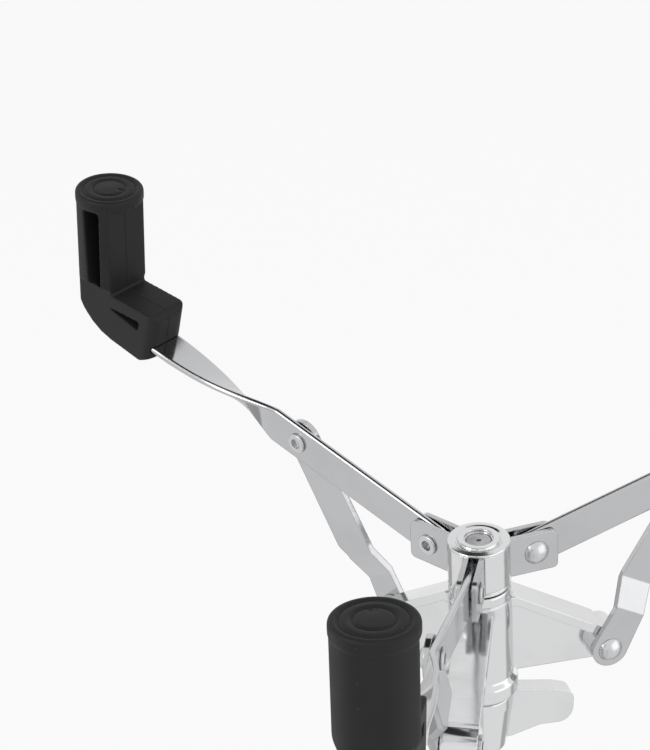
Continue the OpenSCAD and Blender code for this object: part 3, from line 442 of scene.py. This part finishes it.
def twisted_strip_tree():
    """A flat bar with rounded long edges that turns a quarter between two places; its near end is round."""
    g, inp, out = new_tree("twisted_strip", {
        "Start": ("NodeSocketFloat", -0.008),
        "End": ("NodeSocketFloat", 0.1809),
        "Width": ("NodeSocketFloat", 0.0156),
        "Thickness": ("NodeSocketFloat", 0.0027),
        "Edge Round": ("NodeSocketFloat", 0.00115),
        "End Round": ("NodeSocketFloat", 0.006),
        "Twist Start": ("NodeSocketFloat", 0.085),
        "Twist End": ("NodeSocketFloat", 0.150),
        "Steps": ("NodeSocketInt", 420),
        "Material": ("NodeSocketMaterial", None),
    })
    first = g.node("ShaderNodeCombineXYZ", inputs={"X": inp["Start"]})
    last = g.node("ShaderNodeCombineXYZ", inputs={"X": inp["End"]})
    line = g.node("GeometryNodeCurvePrimitiveLine", inputs={
        "Start": first.outputs[0], "End": last.outputs[0]})
    path = g.node("GeometryNodeResampleCurve", inputs={"Curve": line.outputs[0], "Count": inp["Steps"]})
    along = g.node("ShaderNodeSeparateXYZ", inputs={
        "Vector": g.node("GeometryNodeInputPosition").outputs[0]})
    share = g.math("DIVIDE", g.math("SUBTRACT", along.outputs["X"], inp["Twist Start"]),
                   g.math("SUBTRACT", inp["Twist End"], inp["Twist Start"]), clamp=True)
    eased = g.math("POWER", share, TWIST_LEAD)
    curve = g.math("MULTIPLY", g.math("MULTIPLY", eased, eased),
                   g.math("SUBTRACT", 3.0, g.math("MULTIPLY", eased, 2.0)))
    tilt = g.math("MULTIPLY", curve, -math.pi / 2)
    tilted = g.node("GeometryNodeSetCurveTilt", inputs={"Curve": path.outputs[0], "Tilt": tilt})
    outline = g.node("GeometryNodeCurvePrimitiveQuadrilateral",
                     inputs={"Width": inp["Thickness"], "Height": inp["Width"]})
    section = g.node("GeometryNodeFilletCurve", mode="POLY",
                     inputs={"Curve": outline.outputs[0], "Count": 6, "Radius": inp["Edge Round"]})
    bar = g.node("GeometryNodeCurveToMesh", inputs={
        "Curve": tilted.outputs[0], "Profile Curve": section.outputs[0], "Fill Caps": True})
    place = g.node("ShaderNodeSeparateXYZ", inputs={
        "Vector": g.node("GeometryNodeInputPosition").outputs[0]})
    into = g.math("SUBTRACT", g.math("ADD", inp["Start"], inp["End Round"]), place.outputs["X"])
    into = g.math("MAXIMUM", into, 0.0)
    left = g.math("SUBTRACT", g.math("MULTIPLY", inp["End Round"], inp["End Round"]),
                  g.math("MULTIPLY", into, into))
    drop = g.math("SUBTRACT", inp["End Round"], g.math("SQRT", g.math("MAXIMUM", left, 0.0)))
    half = g.math("MULTIPLY", inp["Width"], 0.5)
    narrow = g.math("DIVIDE", g.math("SUBTRACT", half, drop), half)
    across = g.math("MULTIPLY", place.outputs["Z"], narrow)
    spot = g.node("ShaderNodeCombineXYZ", inputs={
        "X": place.outputs["X"], "Y": place.outputs["Y"], "Z": across})
    shaped = g.node("GeometryNodeSetPosition", inputs={
        "Geometry": bar.outputs[0], "Position": spot.outputs[0]})
    smooth = g.node("GeometryNodeSetShadeSmooth", inputs={"Geometry": shaped.outputs[0]})
    end_tree(g, smooth.outputs[0], inp["Material"], out)
    return g.tree


def make_arms():
    tree = twisted_strip_tree()
    for side, azimuth in ARM_AZIMUTH.items():
        piece = grow("arm_strip_" + side, tree, arm_place(azimuth), Material=FINISHES["strip"])
        settle(piece, "arm_" + side, "strip_chrome", "arm_" + side)


def threaded_rod_tree():
    """A round core with a screw thread wound round it."""
    g, inp, out = new_tree("threaded_rod", {
        "Radius": ("NodeSocketFloat", 0.005),
        "Thread Depth": ("NodeSocketFloat", 0.0007),
        "Pitch": ("NodeSocketFloat", 0.0015),
        "Bottom": ("NodeSocketFloat", 0.363),
        "Top": ("NodeSocketFloat", 0.536),
        "Material": ("NodeSocketMaterial", None),
    })
    height = g.math("SUBTRACT", inp["Top"], inp["Bottom"])
    turns = g.math("DIVIDE", height, inp["Pitch"])
    root = g.math("SUBTRACT", inp["Radius"], inp["Thread Depth"])
    helix = g.node("GeometryNodeCurveSpiral", inputs={
        "Resolution": 28, "Rotations": turns, "Start Radius": root, "End Radius": root, "Height": height})
    upright = g.node("GeometryNodeSetCurveNormal", inputs={"Curve": helix.outputs[0]})
    upright.mode = "Z_UP"
    ridge = g.node("GeometryNodeCurvePrimitiveCircle", inputs={
        "Resolution": 4, "Radius": inp["Thread Depth"]})
    thread = g.node("GeometryNodeCurveToMesh", inputs={
        "Curve": upright.outputs[0], "Profile Curve": ridge.outputs[0], "Fill Caps": True})
    core = g.node("GeometryNodeMeshCylinder", inputs={"Vertices": 48, "Radius": root, "Depth": height})
    lift = g.node("ShaderNodeCombineXYZ", inputs={"Z": g.math("DIVIDE", height, 2.0)})
    raised = g.node("GeometryNodeTransform", inputs={
        "Geometry": core.outputs[0], "Translation": lift.outputs[0]})
    both = g.node("GeometryNodeJoinGeometry")
    g.links.new(thread.outputs[0], both.inputs[0])
    g.links.new(raised.outputs[0], both.inputs[0])
    base = g.node("ShaderNodeCombineXYZ", inputs={"Z": inp["Bottom"]})
    placed = g.node("GeometryNodeTransform", inputs={
        "Geometry": both.outputs[0], "Translation": base.outputs[0]})
    end_tree(g, placed.outputs[0], inp["Material"], out)
    return g.tree


# How far below the arm hinges the rod's thread ends
NECK_DROP = 0.008


def lathe(name, outline, material, sides=64):
    """Turns an outline of (radius, height) in millimetres about the Z axis."""
    bm = bmesh.new()
    rings = []
    for radius, height in outline:
        if radius == 0:
            rings.append([bm.verts.new((0, 0, height * MM))])
            continue
        rings.append([bm.verts.new((radius * MM * math.cos(a), radius * MM * math.sin(a), height * MM))
                      for a in (2 * math.pi * i / sides for i in range(sides))])
    for low, high in zip(rings, rings[1:]):
        for i in range(sides):
            j = (i + 1) % sides
            corners = [low[i % len(low)], low[j % len(low)], high[j % len(high)], high[i % len(high)]]
            bm.faces.new(list(dict.fromkeys(corners)))
    bmesh.ops.recalc_face_normals(bm, faces=bm.faces)
    mesh = bpy.data.meshes.new(name)
    bm.to_mesh(mesh)
    bm.free()
    mesh.materials.append(material)
    return add_object(name, mesh)


def make_rod():
    """The thread ends below the hinges, where a plain neck with a centre hole goes on to the top."""
    low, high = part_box("centre_rod")
    top = high.z / MM
    thread_top = BASKET_H - NECK_DROP
    piece = grow("rod_thread", threaded_rod_tree(), Matrix.Identity(4),
                 Bottom=low.z, Top=thread_top, Material=FINISHES["steel"])
    neck = lathe("rod_neck", [(0, thread_top / MM - 1), (4.3, thread_top / MM - 1), (5, thread_top / MM),
                              (5, top - 0.5), (4.5, top), (1.1, top), (0.9, top - 0.2), (0.9, top - 1.5),
                              (0, top - 2)], FINISHES["steel"])
    for made in (piece, neck):
        settle(made, "tilter_head", "steel")
    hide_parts("centre_rod")


def moulded_copy(node, name, voxel, passes):
    """A CAD solid with its edges softened as a rubber moulding has them."""
    bm = bmesh.new()
    bm.from_mesh(NODES[node].data)
    bmesh.ops.remove_doubles(bm, verts=bm.verts, dist=1e-6)
    mesh = bpy.data.meshes.new(name)
    bm.to_mesh(mesh)
    bm.free()
    mesh.materials.append(FINISHES["tip"])
    seed = add_object(name + "_seed", mesh)
    remesh = seed.modifiers.new("skin", "REMESH")
    remesh.mode = "VOXEL"
    remesh.voxel_size = voxel
    remesh.use_smooth_shade = True
    ease = seed.modifiers.new("ease", "SMOOTH")
    ease.factor = 0.5
    ease.iterations = passes
    return keep_evaluated(seed, name)


# How finely the tip is moulded anew, and how often its surface is eased
TIP_VOXEL = 0.00037
TIP_PASSES = 9


def make_tips():
    """One moulding, turned to each arm."""
    made = {}
    pattern = moulded_copy("tip_front", "tip_moulding_front", TIP_VOXEL, TIP_PASSES)
    for side, azimuth in ARM_AZIMUTH.items():
        piece = pattern
        if side != "front":
            mesh = pattern.data.copy()
            mesh.transform(Matrix.Rotation(math.radians(azimuth - ARM_AZIMUTH["front"]), 4, "Z"))
            piece = add_object("tip_moulding_" + side, mesh)
        settle(piece, "arm_" + side, "rubber", "tip_" + side)
        made[side] = piece
    return made


def moulding_seam_tree():
    """A fine bead where two mould halves met, laid on a surface by rays sent from a line in front of it."""
    g, inp, out = new_tree("moulding_seam", {
        "Surface": ("NodeSocketObject", None),
        "From": ("NodeSocketVector", None),
        "To": ("NodeSocketVector", None),
        "Aim": ("NodeSocketVector", None),
        "Points": ("NodeSocketInt", 220),
        "Bead Radius": ("NodeSocketFloat", 0.0002),
        "Material": ("NodeSocketMaterial", None),
    })
    line = g.node("GeometryNodeCurvePrimitiveLine", inputs={"Start": inp["From"], "End": inp["To"]})
    path = g.node("GeometryNodeResampleCurve", inputs={"Curve": line.outputs[0], "Count": inp["Points"]})
    skin = g.node("GeometryNodeObjectInfo", inputs={"Object": inp["Surface"]})
    ray = g.node("GeometryNodeRaycast", inputs={
        "Target Geometry": skin.outputs["Geometry"], "Ray Direction": inp["Aim"], "Ray Length": 0.2})
    laid = g.node("GeometryNodeSetPosition", inputs={
        "Geometry": path.outputs[0],
        "Selection": ray.outputs["Is Hit"],
        "Position": ray.outputs["Hit Position"]})
    missed = g.node("FunctionNodeBooleanMath", operation="NOT", inputs={0: ray.outputs["Is Hit"]})
    kept = g.node("GeometryNodeDeleteGeometry", inputs={
        "Geometry": laid.outputs[0], "Selection": missed.outputs[0]})
    bead = g.node("GeometryNodeCurvePrimitiveCircle", inputs={
        "Resolution": 6, "Radius": inp["Bead Radius"]})
    made = g.node("GeometryNodeCurveToMesh", inputs={
        "Curve": kept.outputs[0], "Profile Curve": bead.outputs[0], "Fill Caps": True})
    end_tree(g, made.outputs[0], inp["Material"], out)
    return g.tree


# Places in an arm's frame, along the strip and up from it: under the tip's collar, and low on its block
SEAM_HIGH = mm(179.6, 0, 50.5)
SEAM_LOW = mm(148.2, 0, 2.5)
SEAM_AIM = Vector((0.77, 0, -0.64)).normalized()
SEAM_STAND_OFF = 0.04


def make_seams(mouldings):
    tree = moulding_seam_tree()
    across = Vector((-SEAM_AIM.z, 0, SEAM_AIM.x))
    back = SEAM_AIM * (min(SEAM_HIGH.dot(SEAM_AIM), SEAM_LOW.dot(SEAM_AIM)) - SEAM_STAND_OFF)
    for side, azimuth in ARM_AZIMUTH.items():
        place = arm_place(azimuth)
        start = place @ (back + across * SEAM_LOW.dot(across))
        end = place @ (back + across * SEAM_HIGH.dot(across))
        piece = grow("tip_seam_" + side, tree, Matrix.Identity(4), Surface=mouldings[side],
                     From=list(start), To=list(end), Aim=list(place.to_3x3() @ SEAM_AIM),
                     Material=FINISHES["tip"])
        settle(piece, "arm_" + side, "rubber")


make_arms()
make_rod()
make_seams(make_tips())


# Studio: a white floor and world that metal reflects, two soft lamps, and a dark flag for its edges

# Grey bands on the floor that round tubes mirror as upright streaks: bearing, half width and depth
BANDS = ((144, 14, 0.55), (41, 17, 0.5), (242, 4, 0.5), (229, 12, 0.3), (276, 3, 0.3))
BAND_FADE = 5.0

# How far the floor reaches, and its own glow's share in how it is seen, the rest being lit paint
FLOOR_REACH = 14.0
FLOOR_GLOW = 0.9

# How bright the world is where it only lights a surface, against 1 where it is seen
WORLD_LIGHT = 0.45


def banded_tone(s, bands):
    """How bright the floor looks in a reflection: darker in soft bands that run out from the stand."""
    place = s.node("ShaderNodeSeparateXYZ", inputs={
        "Vector": s.node("ShaderNodeTexCoord").outputs["Object"]})
    bearing = s.math("MULTIPLY", s.math("ARCTAN2", place.outputs["Y"], place.outputs["X"]), 180 / math.pi)
    tone = 1.0
    for centre, half_width, depth in bands:
        off = s.node("ShaderNodeMath", operation="WRAP",
                     inputs={0: s.math("SUBTRACT", bearing, centre), 1: 180.0, 2: -180.0}).outputs[0]
        shade = s.spread(s.math("ABSOLUTE", off), half_width, half_width + BAND_FADE, depth, 0.0)
        tone = s.math("SUBTRACT", tone, shade)
    return tone


def seen_by(s, path):
    """1 for rays from the camera, from a mirroring surface or through glass, 0 for rays that only light."""
    first = s.math("MAXIMUM", path["Is Camera Ray"], path["Is Glossy Ray"])
    return s.math("MAXIMUM", first, path["Is Transmission Ray"])


def stage_card(name, corners):
    """A card of four corners that stands in the studio and isn't part of the stand."""
    mesh = bpy.data.meshes.new(name)
    mesh.from_pydata(corners, [], [(0, 1, 2, 3)])
    card = add_object(name, mesh)
    material, s = bare_material(name)
    mesh.materials.append(material)
    return card, s


def make_floor():
    far = FLOOR_REACH
    s = stage_card("floor", [(-far, -far, 0), (far, -far, 0), (far, far, 0), (-far, far, 0)])[1]
    paint = s.node("ShaderNodeBsdfDiffuse", inputs={"Color": (0.95, 0.95, 0.95, 1)})
    path = s.node("ShaderNodeLightPath").outputs
    seen = seen_by(s, path)
    lost = s.math("MULTIPLY", s.math("SUBTRACT", 1.0, banded_tone(s, BANDS)), path["Is Glossy Ray"])
    glow = s.node("ShaderNodeEmission", inputs={
        "Color": (1, 1, 1, 1), "Strength": s.math("SUBTRACT", 1.0, lost)})
    mix = s.node("ShaderNodeMixShader", inputs={
        0: s.math("MULTIPLY", seen, FLOOR_GLOW), 1: paint.outputs[0], 2: glow.outputs[0]})
    s.node("ShaderNodeOutputMaterial", inputs={"Surface": mix.outputs[0]})


def make_world():
    """White to the camera and in reflections, and softer where it lights plain surfaces."""
    world = bpy.data.worlds.new("studio")
    bpy.context.scene.world = world
    world.use_nodes = True
    s = Shader(world.node_tree)
    s.nodes.clear()
    seen = seen_by(s, s.node("ShaderNodeLightPath").outputs)
    strength = s.spread(seen, 0.0, 1.0, WORLD_LIGHT, 1.0)
    back = s.node("ShaderNodeBackground", inputs={"Color": (1, 1, 1, 1), "Strength": strength})
    s.node("ShaderNodeOutputWorld", inputs={"Surface": back.outputs[0]})


def around(azimuth, elevation, distance):
    """A place round the basket, by its bearing and its height above or below level."""
    a, e = math.radians(azimuth), math.radians(elevation)
    flat = distance * math.cos(e)
    return Vector((flat * math.cos(a), flat * math.sin(a), BASKET_H + distance * math.sin(e)))


def facing(at, towards):
    """The turn that points a lamp or a card at a place."""
    return (Vector(towards) - Vector(at)).to_track_quat("-Z", "Y").to_matrix().to_4x4()


def soft_lamp(name, at, towards, size, power):
    lamp = bpy.data.lights.new(name, "AREA")
    lamp.shape = "RECTANGLE"
    lamp.size, lamp.size_y = size
    lamp.energy = power
    add_object(name, lamp).matrix_world = Matrix.Translation(at) @ facing(at, towards)


def dark_flag(name, at, towards, size):
    """A dark card that only reflections see."""
    w, h = size[0] / 2, size[1] / 2
    place = Matrix.Translation(at) @ facing(at, towards)
    corners = ((-w, -h, 0), (w, -h, 0), (w, h, 0), (-w, h, 0))
    card, s = stage_card(name, [place @ Vector(c) for c in corners])
    paint = s.node("ShaderNodeBsdfDiffuse", inputs={"Color": (0.05, 0.05, 0.052, 1)})
    s.node("ShaderNodeOutputMaterial", inputs={"Surface": paint.outputs[0]})
    for ray in ("camera", "diffuse", "shadow", "transmission"):
        setattr(card, "visible_" + ray, False)


def make_studio():
    """Low lamps light upright and level faces alike, and a dark ceiling draws lines on edges."""
    make_floor()
    make_world()
    middle = (0, 0, BASKET_H)
    soft_lamp("key", around(222, 30, 1.9), middle, (0.9, 0.9), 9)
    soft_lamp("fill", around(345, 11, 1.6), middle, (1.7, 1.5), 5.6)
    dark_flag("ceiling_flag", around(130, 68, 1.2), middle, (1.1, 1.1))


make_studio()

view = bpy.context.scene.view_settings
view.view_transform = "Standard"
